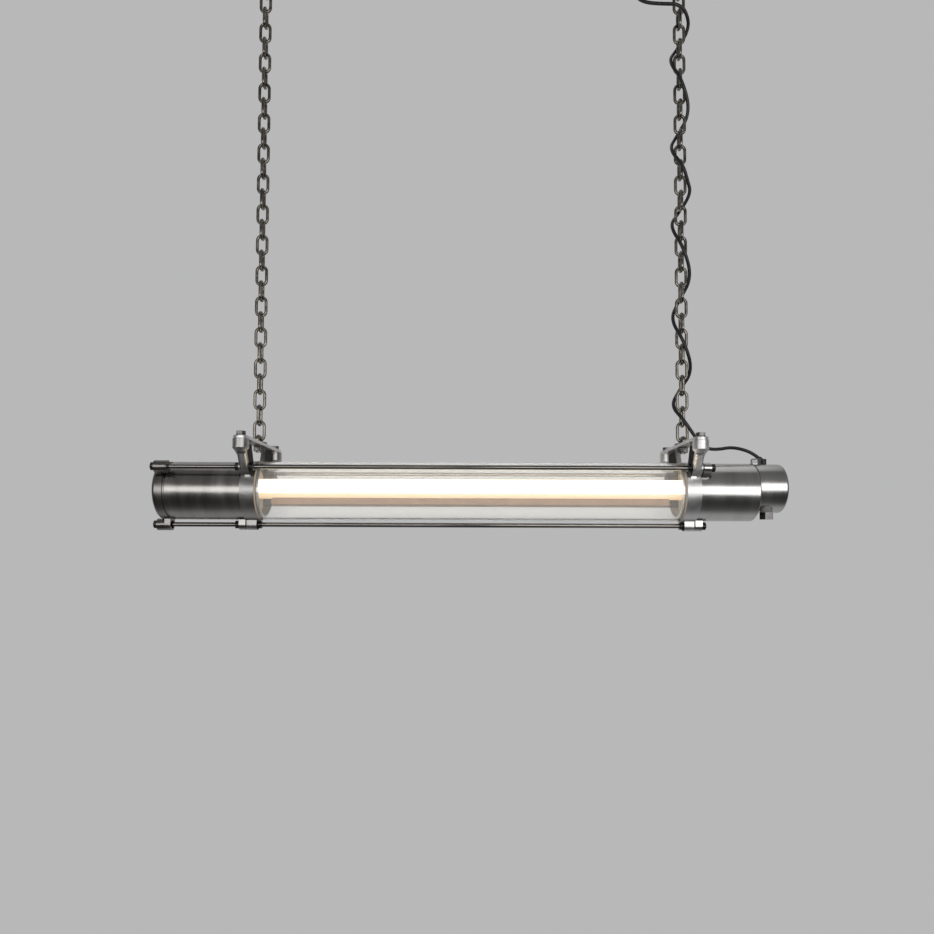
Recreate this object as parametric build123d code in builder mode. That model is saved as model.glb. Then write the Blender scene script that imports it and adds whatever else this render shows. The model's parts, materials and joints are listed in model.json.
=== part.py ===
"""Industrial tube light on two chains: a T8 tube in a clear glass tube between two steel housings.

The origin is on the ceiling, midway between the two chain hooks. +X runs along the lamp to its cable end,
+Y points away from the viewer and +Z points up, so the whole lamp hangs below the origin. Millimetres.
"""
import math
import os

from build123d import *

os.makedirs("parts", exist_ok=True)

SIDES = (("left", -1), ("right", 1))

# Clearances
FIT = 0.3
SCREW_PLAY = 0.2
GLASS_PLAY = 0.5

# Light tube of the 600 mm class
TUBE_DIAMETER = 26.0
TUBE_REACH = 23.5
TUBE_RAISE = 2.8
TUBE_WALL = 1.0
TUBE_CAP_LENGTH = 17.0
PIN_DIAMETER = 2.4
PIN_LENGTH = 7.0
PIN_SPACING = 12.7
BOARD_WIDTH = 16.0
BOARD_THICKNESS = 1.6

# Glass tube and its gaskets
GLASS_DIAMETER = 77.0
GLASS_WALL = 3.3
GLASS_LENGTH = 543.0
GASKET_THICKNESS = 2.0

# Collars that hold the glass
COLLAR_LIP = 0.5
COLLAR_LENGTH = 18.0
SPIGOT_LENGTH = 5.0
SPIGOT_WALL = 3.2
LEDGE_DEPTH = 8.5
LEDGE_WIDTH = 3.0
LUG_LENGTH = 13.0
LUG_RADIUS = 6.8
LUG_INSET = 0.5

# Posts on the collars, and the hanger straps that they carry
HANG_INSET = 4.8
POST_REACH = 36.0
POST_RISE = 19.5
WEB_REACH = 42.0
WEB_THICKNESS = 7.0
POST_TOP_GAP = 1.5
CUP_DIAMETER = 19.5
CUP_HEIGHT = 11.0
CUP_TAPER = 4.5
NECK_DIAMETER = 12.0
NECK_LEAN = 1.0
STRAP_WIDTH = 18.0
STRAP_THICKNESS = 4.0

# Housings
HOUSING_STEP = 1.2
HOUSING_WALL = 3.0
HOUSING_ROUND = 2.5
LEFT_HOUSING_LENGTH = 95.0
RIGHT_HOUSING_LENGTH = 76.0
END_WALL = 4.0
HOUSING_LUG_GAP = 1.0
HOUSING_LUG_LENGTH = 9.5
END_CAP_LENGTH = 17.0
END_CAP_GROOVE = 3.5
END_CAP_GROOVE_DEPTH = 1.5
END_CAP_ROUND = 5.0
END_CAP_SPIGOT = 6.0
EAR_RADIUS = 7.75
EAR_MOUTH_DIAMETER = 11.0
EAR_MOUTH_DEPTH = 5.0
TOP_EAR_START = -5.5
TOP_EAR_LENGTH = 16.5
BOTTOM_EAR_LENGTH = 18.5

# Terminal cover, smaller than the right housing and raised on it
COVER_DIAMETER = 63.8
COVER_LENGTH = 36.3
COVER_WALL = 3.0
COVER_RAISE = 5.2
COVER_ROUND = 4.0
COVER_GASKET = 1.2
COVER_SPIGOT = 4.0

# Tie rods
ROD_DIAMETER = 6.0
TOP_ROD_GAP = 8.8
TOP_ROD_ANGLE = 36.3
BOTTOM_ROD_GAP = 5.2
ROD_TIP = 1.0

# M6 and M8 fasteners
M6_FLATS = 10.0
M6_NUT_HEIGHT = 5.0
M6_HEAD_HEIGHT = 4.0
M6_WASHER_DIAMETER = 12.0
M6_WASHER_THICKNESS = 1.6
STRAP_BOLT_LENGTH = 16.0
M8_DIAMETER = 8.0
M8_FLATS = 13.0
M8_NUT_HEIGHT = 6.5

# Chains, one link beside the other with a small gap at each contact
LINK_BAR = 4.0
LINK_INNER_LENGTH = 21.0
LINK_WIDTH = 16.8
LINK_GAP = 0.3
LINK_COUNT = 30

# Chain eyes on the straps
EYE_BAR = 5.0
EYE_INNER_WIDTH = 9.0
EYE_BASE = 1.5
EYE_RIM = 0.4
EYE_CORNER = 4.0
EYE_FLOOR_GAP = 0.5
EYE_SHANK_LENGTH = 12.0

# Ceiling hooks and plates
HOOK_BAR = 6.0
HOOK_RADIUS = 11.0
HOOK_DROP = 37.5
HOOK_STEM = 12.0
HOOK_STRAIGHT = 7.5
HOOK_TIP = 4.5
HOOK_BEND = 5.0
PLATE_DIAMETER = 56.0
PLATE_THICKNESS = 4.0
PLATE_HOLE_DIAMETER = 5.0
PLATE_HOLE_SPACING = 40.0

# Ceiling rose that the cord ends in
ROSE_OFFSET = 58.5
ROSE_DIAMETER = 58.0
ROSE_HEIGHT = 26.0
ROSE_WALL = 1.6
ROSE_ROUND = 6.0
ROSE_BASE = 3.0
GRIP_DIAMETER = 12.0
GRIP_END_DIAMETER = 7.0
GRIP_LENGTH = 14.0
ROSE_BLOCK_SIZE = (12.0, 22.0, 12.0)

# Holders of the light tube, and the wireway below it
HOLDER_PLATE = 3.0
HOLDER_WALL = 4.3
HOLDER_BACK = 8.0
HOLDER_POCKET_DIAMETER = 18.0
SADDLE_RADIUS = 23.0
SADDLE_LENGTH = 14.0
SADDLE_STANDOFF = 7.0
SADDLE_ARM = (4.0, 14.0)
TUBE_PLAY = 0.7
WIREWAY_SPREAD = 30.0
WIREWAY_BORE = 5.0

# Wiring, the gland and the other fittings of the terminal cover
CORD_DIAMETER = 4.4
WIRE_DIAMETER = 2.2
WIRE_SPACING = 8.0
WIRE_HEIGHT = 8.0
WIRE_BEND = 4.0
WIRE_HOLE_DIAMETER = 14.0
BLOCK_LENGTH = 25.5
BLOCK_WIDTH = 20.0
BLOCK_HEIGHT = 14.0
BLOCK_TOP = 2.0
BLOCK_WIRE_INSET = 8.5
GLAND_INSET = 18.1
GLAND_Y = 7.0
GLAND_DIAMETER = 8.4
GLAND_HEIGHT = 7.7
GLAND_DEPTH = 2.0
SLEEVE_DIAMETER = 6.0
SLEEVE_SINK = 3.2
SLEEVE_LENGTH = 6.9
SLEEVE_LEAN = 50.0
PLUG_INSET = 5.6
PLUG_FLATS = 11.0
PLUG_DIAMETER = 8.0
PLUG_TOP = 44.6
PLUG_HEX_HEIGHT = 7.0
PLUG_ROUND = 1.5
PLUG_SHANK = 3.5
DRAIN_INSET = 13.0
DRAIN_Y = -14.0
DRAIN_FLATS = 15.2
DRAIN_DIAMETER = 9.0
DRAIN_BOTTOM = -35.5
DRAIN_HEX_HEIGHT = 9.1
DRAIN_SHANK = 3.0

# The cord's route: from the ceiling rose, round the right chain and in a loop to the gland
CORD_CEILING_POINTS = [
    (219.8, 0.0, -40.0),
    (219.8, 0.0, -49.0),
    (222.8, -2.0, -58.5),
    (232.8, -6.0, -67.0),
    (247.8, -10.0, -71.5),
    (259.8, -12.3, -73.5),
]
CORD_UPPER_POINTS = [
    (259.8, -12.3, -73.5),
    (271.8, -14.6, -75.5),
    (283.8, -13.2, -83.0),
    (292.9, 0.0, -98.0),
    (278.3, 14.6, -120.0),
    (263.7, 0.0, -143.0),
    (278.3, -14.6, -179.0),
    (292.9, 0.0, -214.0),
    (278.3, 14.6, -239.0),
    (263.7, 0.0, -264.0),
    (278.3, -14.6, -294.0),
    (285.6, -7.3, -309.5),
]
CORD_LOWER_POINTS = [
    (285.6, -7.3, -309.5),
    (292.9, 0.0, -325.0),
    (278.3, 14.6, -347.0),
    (263.7, 0.0, -369.0),
    (278.3, -14.6, -404.0),
    (292.9, 0.0, -439.0),
    (278.3, 14.6, -467.0),
    (263.7, 0.0, -495.0),
    (278.3, -14.6, -529.0),
    (292.9, 0.0, -564.0),
    (278.3, 14.6, -587.0),
    (263.7, 0.0, -610.0),
    (276.3, -14.4, -631.0),
    (285.3, -12.5, -643.5),
    (292.1, -11.0, -652.5),
]
CORD_LOOP_POINTS = [
    (292.1, -11.0, -652.5),
    (298.9, -9.5, -661.5),
    (310.5, -7.5, -668.0),
    (326.0, -4.0, -667.5),
    (341.0, 0.0, -664.5),
    (358.0, 5.0, -666.0),
]
CORD_LEAD = 10.0
CORD_BEND_SHARE = 0.45

# Places along the lamp, measured out from its middle
COLLAR_IN = GLASS_LENGTH / 2 + GASKET_THICKNESS
COLLAR_OUT = COLLAR_IN + COLLAR_LENGTH
LEDGE_OUT = COLLAR_IN + LEDGE_DEPTH
LUG_OUT = COLLAR_OUT - LUG_INSET
LUG_IN = LUG_OUT - LUG_LENGTH
HOUSING_LUG_IN = COLLAR_OUT + HOUSING_LUG_GAP
HOUSING_LUG_OUT = HOUSING_LUG_IN + HOUSING_LUG_LENGTH
LEFT_END = COLLAR_OUT + LEFT_HOUSING_LENGTH
RIGHT_END = COLLAR_OUT + RIGHT_HOUSING_LENGTH
COVER_IN = RIGHT_END + COVER_GASKET
HANG_X = COLLAR_IN + HANG_INSET
HANG_SPACING = 2 * HANG_X
ROSE_X = HANG_X - ROSE_OFFSET
TUBE_HALF = GLASS_LENGTH / 2 + TUBE_REACH
HOLDER_OUT = TUBE_HALF + PIN_LENGTH + HOLDER_BACK

# Radii and heights about the lamp axis
GLASS_RADIUS = GLASS_DIAMETER / 2
GLASS_BORE = GLASS_RADIUS - GLASS_WALL
COLLAR_RADIUS = GLASS_RADIUS + COLLAR_LIP
SPIGOT_RADIUS = GLASS_BORE - GLASS_PLAY
COLLAR_BORE = SPIGOT_RADIUS - SPIGOT_WALL
LEDGE_BORE = COLLAR_BORE - LEDGE_WIDTH
HOUSING_RADIUS = COLLAR_RADIUS - HOUSING_STEP
HOUSING_BORE = HOUSING_RADIUS - HOUSING_WALL
COVER_RADIUS = COVER_DIAMETER / 2
COVER_BORE = COVER_RADIUS - COVER_WALL
COVER_TOP = COVER_RAISE + COVER_RADIUS
ROD_HOLE = ROD_DIAMETER / 2 + SCREW_PLAY
TUBE_RADIUS = TUBE_DIAMETER / 2
HOLDER_BORE = TUBE_RADIUS + TUBE_PLAY
HOLDER_RADIUS = HOLDER_BORE + HOLDER_WALL
POST_Y = COLLAR_RADIUS + POST_REACH
STRAP_BOTTOM = COLLAR_RADIUS + POST_RISE
STRAP_TOP = STRAP_BOTTOM + STRAP_THICKNESS
CUP_BOTTOM = STRAP_BOTTOM - CUP_HEIGHT
LAST_LINK_Z = STRAP_TOP + EYE_BASE + EYE_FLOOR_GAP + LINK_BAR / 2
EYE_CROWN_Z = LAST_LINK_Z + LINK_BAR / 2 + LINK_GAP + EYE_BAR / 2

# Heights below the ceiling: the chain's length sets where the lamp hangs
LINK_PITCH = LINK_INNER_LENGTH - LINK_GAP
LINK_CENTRE_LENGTH = LINK_INNER_LENGTH + LINK_BAR
LINK_BEND = (LINK_WIDTH - LINK_BAR) / 2
TOP_LINK_TOP_Z = -HOOK_DROP + HOOK_BAR / 2 + LINK_GAP + LINK_BAR / 2
TOP_LINK_Z = TOP_LINK_TOP_Z - LINK_CENTRE_LENGTH
LAST_LINK_BOTTOM_Z = TOP_LINK_Z - (LINK_COUNT - 1) * LINK_PITCH
AXIS_Z = LAST_LINK_BOTTOM_Z - LAST_LINK_Z

# Rod places as (y, z) about the lamp axis
TOP_ROD_REACH = COLLAR_RADIUS + TOP_ROD_GAP
TOP_ROD_Y = TOP_ROD_REACH * math.cos(math.radians(TOP_ROD_ANGLE))
TOP_ROD_Z = TOP_ROD_REACH * math.sin(math.radians(TOP_ROD_ANGLE))
FRONT_ROD = (-TOP_ROD_Y, TOP_ROD_Z)
REAR_ROD = (TOP_ROD_Y, TOP_ROD_Z)
BOTTOM_ROD = (0.0, -COLLAR_RADIUS - BOTTOM_ROD_GAP)
RODS = (FRONT_ROD, REAR_ROD, BOTTOM_ROD)

# Ears of the left end cap, measured out from the middle as (start, end) for each rod
TOP_EAR = (LEFT_END + TOP_EAR_START, LEFT_END + TOP_EAR_START + TOP_EAR_LENGTH)
BOTTOM_EAR = (LEFT_END + END_CAP_GROOVE, LEFT_END + END_CAP_GROOVE + BOTTOM_EAR_LENGTH)
ROD_EARS = {"front": TOP_EAR, "rear": TOP_EAR, "bottom": BOTTOM_EAR}


def write(part, name):
    """Labels a finished piece and writes it to its own file."""
    part.label = name
    export_step(part, f"parts/{name}.step")


def across(side, out, y=0.0, z=0.0):
    """Plane square to the lamp axis, facing away from the lamp's middle, with its y axis up."""
    return Plane(origin=(side * out, y, AXIS_Z + z), x_dir=(0, side, 0), z_dir=(side, 0, 0))


def level(z, x=0.0, y=0.0):
    """Level plane at a height above the lamp axis."""
    return Plane(origin=(x, y, AXIS_Z + z))


def tube(side, start, end, outer, inner, z=0.0):
    """Hollow cylinder on the lamp axis between two distances from the middle."""
    with BuildSketch(across(side, start, z=z)) as ring:
        Circle(outer)
        Circle(inner, mode=Mode.SUBTRACT)
    extrude(ring.sketch, amount=end - start)


def drill(side, start, end, radius, y=0.0, z=0.0):
    """Round hole along the lamp axis between two distances from the middle."""
    with BuildSketch(across(side, start, y, z)) as hole:
        Circle(radius)
    extrude(hole.sketch, amount=end - start, mode=Mode.SUBTRACT)


def lug_outline(side, rod, root, radius):
    """Slot-shaped ear that reaches from a rod's hole in to a radius inside the casting."""
    y, z = rod
    reach = math.hypot(y, z)
    share = (reach + root) / 2 / reach
    with Locations((side * y * share, z * share)):
        SlotCenterToCenter(reach - root, 2 * radius, rotation=math.degrees(math.atan2(z, side * y)))


def hex_nut(plane, flats, height, bore):
    """Hexagon nut standing on a plane."""
    with BuildSketch(plane) as hexagon:
        RegularPolygon(flats / 2, 6, major_radius=False)
        Circle(bore, mode=Mode.SUBTRACT)
    extrude(hexagon.sketch, amount=height)


def bend_radii(points):
    """Largest even bend at each corner of a route, from its runs and its turn."""
    radii = []
    for before, corner, after in zip(points, points[1:], points[2:]):
        run_in = Vector(*corner) - Vector(*before)
        run_out = Vector(*after) - Vector(*corner)
        half_turn = math.radians(run_in.get_angle(run_out)) / 2
        shorter = min(run_in.length, run_out.length)
        radii.append(CORD_BEND_SHARE * shorter / math.tan(half_turn))
    return radii


def cord_stretch(points, name):
    """Round cord along straight runs with the largest bends between them."""
    radii = bend_radii(points)
    first, second = Vector(*points[0]), Vector(*points[1])
    with BuildPart() as cord:
        with BuildLine() as route:
            FilletPolyline(*points, radius=radii)
        with BuildSketch(Plane(origin=first, z_dir=second - first)):
            Circle(CORD_DIAMETER / 2)
        sweep()
    length = sum(edge.length for edge in route.edges())
    plain = length * math.pi * CORD_DIAMETER**2 / 4
    print(name, "length", round(length, 1), "volume share", round(cord.part.volume / plain, 4))
    print(name, "bend radii", [round(radius, 1) for radius in radii])
    write(cord.part, name)


# Ceiling plates, hooks and hook nuts
for name, side in SIDES:
    with BuildPart() as ceiling_plate:
        with BuildSketch(Plane(origin=(side * HANG_X, 0, -PLATE_THICKNESS))):
            Circle(PLATE_DIAMETER / 2)
            Circle(HOOK_BAR / 2 + SCREW_PLAY, mode=Mode.SUBTRACT)
            with GridLocations(0, PLATE_HOLE_SPACING, 1, 2):
                Circle(PLATE_HOLE_DIAMETER / 2, mode=Mode.SUBTRACT)
        extrude(amount=PLATE_THICKNESS)
    write(ceiling_plate.part, f"ceiling_plate_{name}")

    with BuildPart() as ceiling_hook:
        bend_z = HOOK_RADIUS - HOOK_DROP
        with BuildLine(Plane(origin=(side * HANG_X, 0, 0), x_dir=(side, 0, 0), z_dir=(0, -side, 0))):
            FilletPolyline(
                (0, 0), (0, -HOOK_STEM), (-HOOK_RADIUS, bend_z + HOOK_STRAIGHT), (-HOOK_RADIUS, bend_z),
                radius=HOOK_BEND,
            )
            ThreePointArc((-HOOK_RADIUS, bend_z), (0, -HOOK_DROP), (HOOK_RADIUS, bend_z))
            Line((HOOK_RADIUS, bend_z), (HOOK_RADIUS, bend_z + HOOK_TIP))
        with BuildSketch(Plane(origin=(side * HANG_X, 0, 0))):
            Circle(HOOK_BAR / 2)
        sweep()
    write(ceiling_hook.part, f"ceiling_hook_{name}")

with BuildPart() as hook_nuts:
    for name, side in SIDES:
        nut_plane = Plane(origin=(side * HANG_X, 0, -PLATE_THICKNESS - M6_NUT_HEIGHT))
        hex_nut(nut_plane, M6_FLATS, M6_NUT_HEIGHT, HOOK_BAR / 2 + SCREW_PLAY)
write(hook_nuts.part, "hook_nuts")

# Ceiling rose: base, cover, terminal block and cord grip
with BuildPart() as rose_base:
    with BuildSketch(Plane(origin=(ROSE_X, 0, -ROSE_BASE))):
        Circle(ROSE_DIAMETER / 2 - ROSE_WALL - FIT)
        with GridLocations(0, PLATE_HOLE_SPACING, 1, 2):
            Circle(PLATE_HOLE_DIAMETER / 2, mode=Mode.SUBTRACT)
    extrude(amount=ROSE_BASE)
write(rose_base.part, "rose_base")

with BuildPart() as rose_cover:
    with BuildSketch(Plane(origin=(ROSE_X, 0, -ROSE_HEIGHT))):
        Circle(ROSE_DIAMETER / 2)
    extrude(amount=ROSE_HEIGHT)
    fillet(rose_cover.faces().sort_by(Axis.Z)[0].edges(), ROSE_ROUND)
    offset(amount=-ROSE_WALL, openings=rose_cover.faces().sort_by(Axis.Z)[-1])
    with BuildSketch(Plane(origin=(ROSE_X, 0, -ROSE_HEIGHT))):
        Circle(GRIP_END_DIAMETER / 2 + SCREW_PLAY)
    extrude(amount=ROSE_WALL, mode=Mode.SUBTRACT)
write(rose_cover.part, "rose_cover")

with BuildPart() as rose_block:
    with BuildSketch(Plane(origin=(ROSE_X, 0, -ROSE_BASE))):
        Rectangle(ROSE_BLOCK_SIZE[0], ROSE_BLOCK_SIZE[1])
    extrude(amount=-ROSE_BLOCK_SIZE[2])
write(rose_block.part, "rose_block")

with BuildPart() as rose_grip:
    with BuildSketch(Plane(origin=(ROSE_X, 0, -ROSE_HEIGHT))):
        Circle(GRIP_DIAMETER / 2)
    with BuildSketch(Plane(origin=(ROSE_X, 0, -ROSE_HEIGHT - GRIP_LENGTH))):
        Circle(GRIP_END_DIAMETER / 2)
    loft()
    with BuildSketch(Plane(origin=(ROSE_X, 0, -ROSE_HEIGHT))):
        Circle(GRIP_END_DIAMETER / 2)
    extrude(amount=ROSE_WALL + FIT)
write(rose_grip.part, "rose_grip")

# One chain link, standing on the centre line of its lower bar
with BuildPart() as chain_link:
    bend_top = LINK_CENTRE_LENGTH - LINK_BEND
    with BuildLine(Plane.XZ):
        Line((LINK_BEND, LINK_BEND), (LINK_BEND, bend_top))
        ThreePointArc((LINK_BEND, bend_top), (0, LINK_CENTRE_LENGTH), (-LINK_BEND, bend_top))
        Line((-LINK_BEND, bend_top), (-LINK_BEND, LINK_BEND))
        ThreePointArc((-LINK_BEND, LINK_BEND), (0, 0), (LINK_BEND, LINK_BEND))
    with BuildSketch(Plane(origin=(LINK_BEND, 0, LINK_BEND))):
        Circle(LINK_BAR / 2)
    sweep()

# Chains: every other link is turned, and the top and last links stand apart because they turn on their own
for name, side in SIDES:
    links = []
    for number in range(LINK_COUNT):
        place = Pos(side * HANG_X, 0, LAST_LINK_BOTTOM_Z + number * LINK_PITCH)
        links.append(place * Rot(0, 0, 90 * (number % 2)) * chain_link.part)
    write(links[0], f"last_link_{name}")
    write(links[-1], f"top_link_{name}")
    with BuildPart() as chain:
        add(links[1:-1], clean=False)
    write(chain.part, f"chain_{name}")

# Chain eyes: a stirrup on a round base, with a threaded shank through the strap
for name, side in SIDES:
    with BuildPart() as chain_eye:
        leg_y = (EYE_INNER_WIDTH + EYE_BAR) / 2
        with BuildSketch(level(STRAP_TOP, side * HANG_X)):
            Circle(leg_y + EYE_BAR / 2 + EYE_RIM)
        extrude(amount=EYE_BASE)
        with BuildSketch(level(STRAP_TOP, side * HANG_X)):
            Circle(M8_DIAMETER / 2)
        extrude(amount=-EYE_SHANK_LENGTH)
        foot_z = STRAP_TOP + EYE_BASE / 2
        with BuildLine(Plane(origin=(side * HANG_X, 0, AXIS_Z), x_dir=(0, 1, 0), z_dir=(1, 0, 0))):
            FilletPolyline(
                (-leg_y, foot_z), (-leg_y, EYE_CROWN_Z), (leg_y, EYE_CROWN_Z), (leg_y, foot_z),
                radius=EYE_CORNER,
            )
        with BuildSketch(level(foot_z, side * HANG_X, -leg_y)):
            Circle(EYE_BAR / 2)
        sweep()
    write(chain_eye.part, f"chain_eye_{name}")

with BuildPart() as eye_nuts:
    for name, side in SIDES:
        nut_plane = level(STRAP_BOTTOM - M8_NUT_HEIGHT, side * HANG_X)
        hex_nut(nut_plane, M8_FLATS, M8_NUT_HEIGHT, M8_DIAMETER / 2 + SCREW_PLAY)
write(eye_nuts.part, "eye_nuts")

# Hanger straps, their bolts and washers
for name, side in SIDES:
    with BuildPart() as hanger_strap:
        with BuildSketch(level(STRAP_BOTTOM, side * HANG_X)):
            SlotCenterToCenter(2 * POST_Y, STRAP_WIDTH, rotation=90)
            Circle(M8_DIAMETER / 2 + SCREW_PLAY, mode=Mode.SUBTRACT)
            with GridLocations(0, 2 * POST_Y, 1, 2):
                Circle(ROD_HOLE, mode=Mode.SUBTRACT)
        extrude(amount=STRAP_THICKNESS)
    write(hanger_strap.part, f"hanger_strap_{name}")

with BuildPart() as strap_washers:
    with BuildSketch(level(STRAP_TOP)):
        with GridLocations(HANG_SPACING, 2 * POST_Y, 2, 2):
            Circle(M6_WASHER_DIAMETER / 2)
            Circle(ROD_HOLE, mode=Mode.SUBTRACT)
    extrude(amount=M6_WASHER_THICKNESS)
write(strap_washers.part, "strap_washers")

with BuildPart() as strap_bolts:
    head_z = STRAP_TOP + M6_WASHER_THICKNESS
    with BuildSketch(level(head_z)):
        with GridLocations(HANG_SPACING, 2 * POST_Y, 2, 2):
            RegularPolygon(M6_FLATS / 2, 6, major_radius=False)
    extrude(amount=M6_HEAD_HEIGHT)
    with BuildSketch(level(head_z)):
        with GridLocations(HANG_SPACING, 2 * POST_Y, 2, 2):
            Circle(ROD_DIAMETER / 2)
    extrude(amount=-STRAP_BOLT_LENGTH)
write(strap_bolts.part, "strap_bolts")

# Collars: a ring with a spigot in the glass, three rod lugs and two arms with cups, each a neck and a web
web_outline = [
    (COLLAR_RADIUS * 0.57, COLLAR_RADIUS * 0.81),
    (POST_Y - WEB_REACH, STRAP_BOTTOM - POST_TOP_GAP),
    (POST_Y - NECK_DIAMETER / 2, STRAP_BOTTOM - POST_TOP_GAP),
    (POST_Y, CUP_BOTTOM - CUP_TAPER),
    (TOP_ROD_Y, TOP_ROD_Z),
    (COLLAR_RADIUS * 0.92, COLLAR_RADIUS * 0.36),
]
for name, side in SIDES:
    with BuildPart() as collar:
        with BuildSketch(across(side, COLLAR_IN)):
            Circle(COLLAR_RADIUS)
        extrude(amount=COLLAR_LENGTH)
        for rod in RODS:
            with BuildSketch(across(side, LUG_IN)):
                lug_outline(side, rod, SPIGOT_RADIUS, LUG_RADIUS)
            extrude(amount=LUG_LENGTH)
        with BuildSketch(across(side, LUG_IN)):
            Polygon(*web_outline, align=None)
            mirror(about=Plane.YZ)
        extrude(amount=WEB_THICKNESS)
        for way in (-1, 1):
            foot = Vector(side * (LUG_OUT - NECK_DIAMETER / 2), way * TOP_ROD_Y, AXIS_Z + TOP_ROD_Z)
            head = Vector(side * (HANG_X - NECK_LEAN), way * POST_Y, AXIS_Z + CUP_BOTTOM - CUP_TAPER / 2)
            with BuildSketch(Plane(origin=foot, z_dir=head - foot)):
                Circle(NECK_DIAMETER / 2)
            extrude(amount=(head - foot).length)
        with BuildSketch(level(CUP_BOTTOM, side * HANG_X)):
            with GridLocations(0, 2 * POST_Y, 1, 2):
                Circle(CUP_DIAMETER / 2)
        extrude(amount=CUP_HEIGHT)
        with Locations((side * HANG_X, -POST_Y, AXIS_Z + CUP_BOTTOM), (side * HANG_X, POST_Y, AXIS_Z + CUP_BOTTOM)):
            Cone(NECK_DIAMETER / 2, CUP_DIAMETER / 2, CUP_TAPER, align=(Align.CENTER, Align.CENTER, Align.MAX))
        with BuildSketch(across(side, COLLAR_IN - SPIGOT_LENGTH)):
            Circle(SPIGOT_RADIUS)
        extrude(amount=SPIGOT_LENGTH)
        drill(side, COLLAR_IN - SPIGOT_LENGTH, LEDGE_OUT, COLLAR_BORE)
        drill(side, LEDGE_OUT, COLLAR_OUT, LEDGE_BORE)
        for rod in RODS:
            drill(side, LUG_IN, LUG_OUT, ROD_HOLE, *rod)
        with BuildSketch(level(STRAP_BOTTOM, side * HANG_X)):
            with GridLocations(0, 2 * POST_Y, 1, 2):
                Circle(ROD_HOLE)
        extrude(amount=-STRAP_BOLT_LENGTH, mode=Mode.SUBTRACT)
    write(collar.part, f"collar_{name}")

# Left housing: an open shell with one lug for the bottom rod
with BuildPart() as left_housing:
    with BuildSketch(across(-1, COLLAR_OUT)):
        Circle(HOUSING_RADIUS)
    extrude(amount=LEFT_HOUSING_LENGTH)
    with BuildSketch(across(-1, HOUSING_LUG_IN)):
        lug_outline(-1, BOTTOM_ROD, HOUSING_BORE, LUG_RADIUS)
    extrude(amount=HOUSING_LUG_LENGTH)
    drill(-1, COLLAR_OUT, LEFT_END, HOUSING_BORE)
    drill(-1, HOUSING_LUG_IN, HOUSING_LUG_OUT, ROD_HOLE, *BOTTOM_ROD)
write(left_housing.part, "left_housing")

# Left end cap: a grooved neck, a rounded bead and three ears that the rods pull on
with BuildPart() as left_end_cap:
    bead_in = LEFT_END + END_CAP_GROOVE
    cap_out = LEFT_END + END_CAP_LENGTH
    with BuildSketch(across(-1, bead_in)):
        Circle(HOUSING_RADIUS)
    extrude(amount=END_CAP_LENGTH - END_CAP_GROOVE)
    fillet(left_end_cap.faces().sort_by(Axis.X)[0].edges(), END_CAP_ROUND)
    tube(-1, LEFT_END, bead_in, HOUSING_RADIUS - END_CAP_GROOVE_DEPTH, HOUSING_BORE - HOUSING_WALL)
    for rod, ear in zip(RODS, ROD_EARS.values()):
        with BuildSketch(across(-1, bead_in)):
            lug_outline(-1, rod, HOUSING_BORE, EAR_RADIUS)
        extrude(amount=TOP_EAR[1] - bead_in)
        with BuildSketch(across(-1, ear[0], *rod)):
            Circle(EAR_RADIUS)
        extrude(amount=ear[1] - ear[0])
    drill(-1, LEFT_END, cap_out - END_WALL, HOUSING_BORE - HOUSING_WALL)
    tube(-1, LEFT_END - END_CAP_SPIGOT, LEFT_END, HOUSING_BORE - FIT, HOUSING_BORE - HOUSING_WALL)
    for rod, ear in zip(RODS, ROD_EARS.values()):
        drill(-1, ear[0], ear[1], ROD_HOLE, *rod)
        drill(-1, ear[0], ear[0] + EAR_MOUTH_DEPTH, EAR_MOUTH_DIAMETER / 2, *rod)
write(left_end_cap.part, "left_end_cap")

# Right housing: a shell with three lugs, an end wall and a raised spigot for the terminal cover
with BuildPart() as right_housing:
    with BuildSketch(across(1, COLLAR_OUT)):
        Circle(HOUSING_RADIUS)
    extrude(amount=RIGHT_HOUSING_LENGTH)
    fillet(right_housing.faces().sort_by(Axis.X)[-1].edges(), HOUSING_ROUND)
    for rod in RODS:
        with BuildSketch(across(1, HOUSING_LUG_IN)):
            lug_outline(1, rod, HOUSING_BORE, LUG_RADIUS)
        extrude(amount=HOUSING_LUG_LENGTH)
    drill(1, COLLAR_OUT, RIGHT_END - END_WALL, HOUSING_BORE)
    spigot_radius = COVER_BORE - FIT
    tube(1, RIGHT_END, COVER_IN + COVER_SPIGOT, spigot_radius, spigot_radius - COVER_WALL, COVER_RAISE)
    drill(1, RIGHT_END - END_WALL, RIGHT_END, WIRE_HOLE_DIAMETER / 2, z=WIRE_HEIGHT)
    for rod in RODS:
        drill(1, HOUSING_LUG_IN, HOUSING_LUG_OUT, ROD_HOLE, *rod)
write(right_housing.part, "right_housing")

# Terminal cover with its gasket, and holes for the gland and the two plugs
GLAND_X = COVER_IN + GLAND_INSET
PLUG_X = COVER_IN + PLUG_INSET
PLUG_SEAT = PLUG_TOP - PLUG_HEX_HEIGHT
HEX_TURN = 30.0
DRAIN_X = COVER_IN + DRAIN_INSET
DRAIN_SEAT = DRAIN_BOTTOM + DRAIN_HEX_HEIGHT
with BuildPart() as cover_gasket:
    tube(1, RIGHT_END, COVER_IN, COVER_RADIUS - FIT, COVER_BORE, COVER_RAISE)
write(cover_gasket.part, "cover_gasket")

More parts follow.
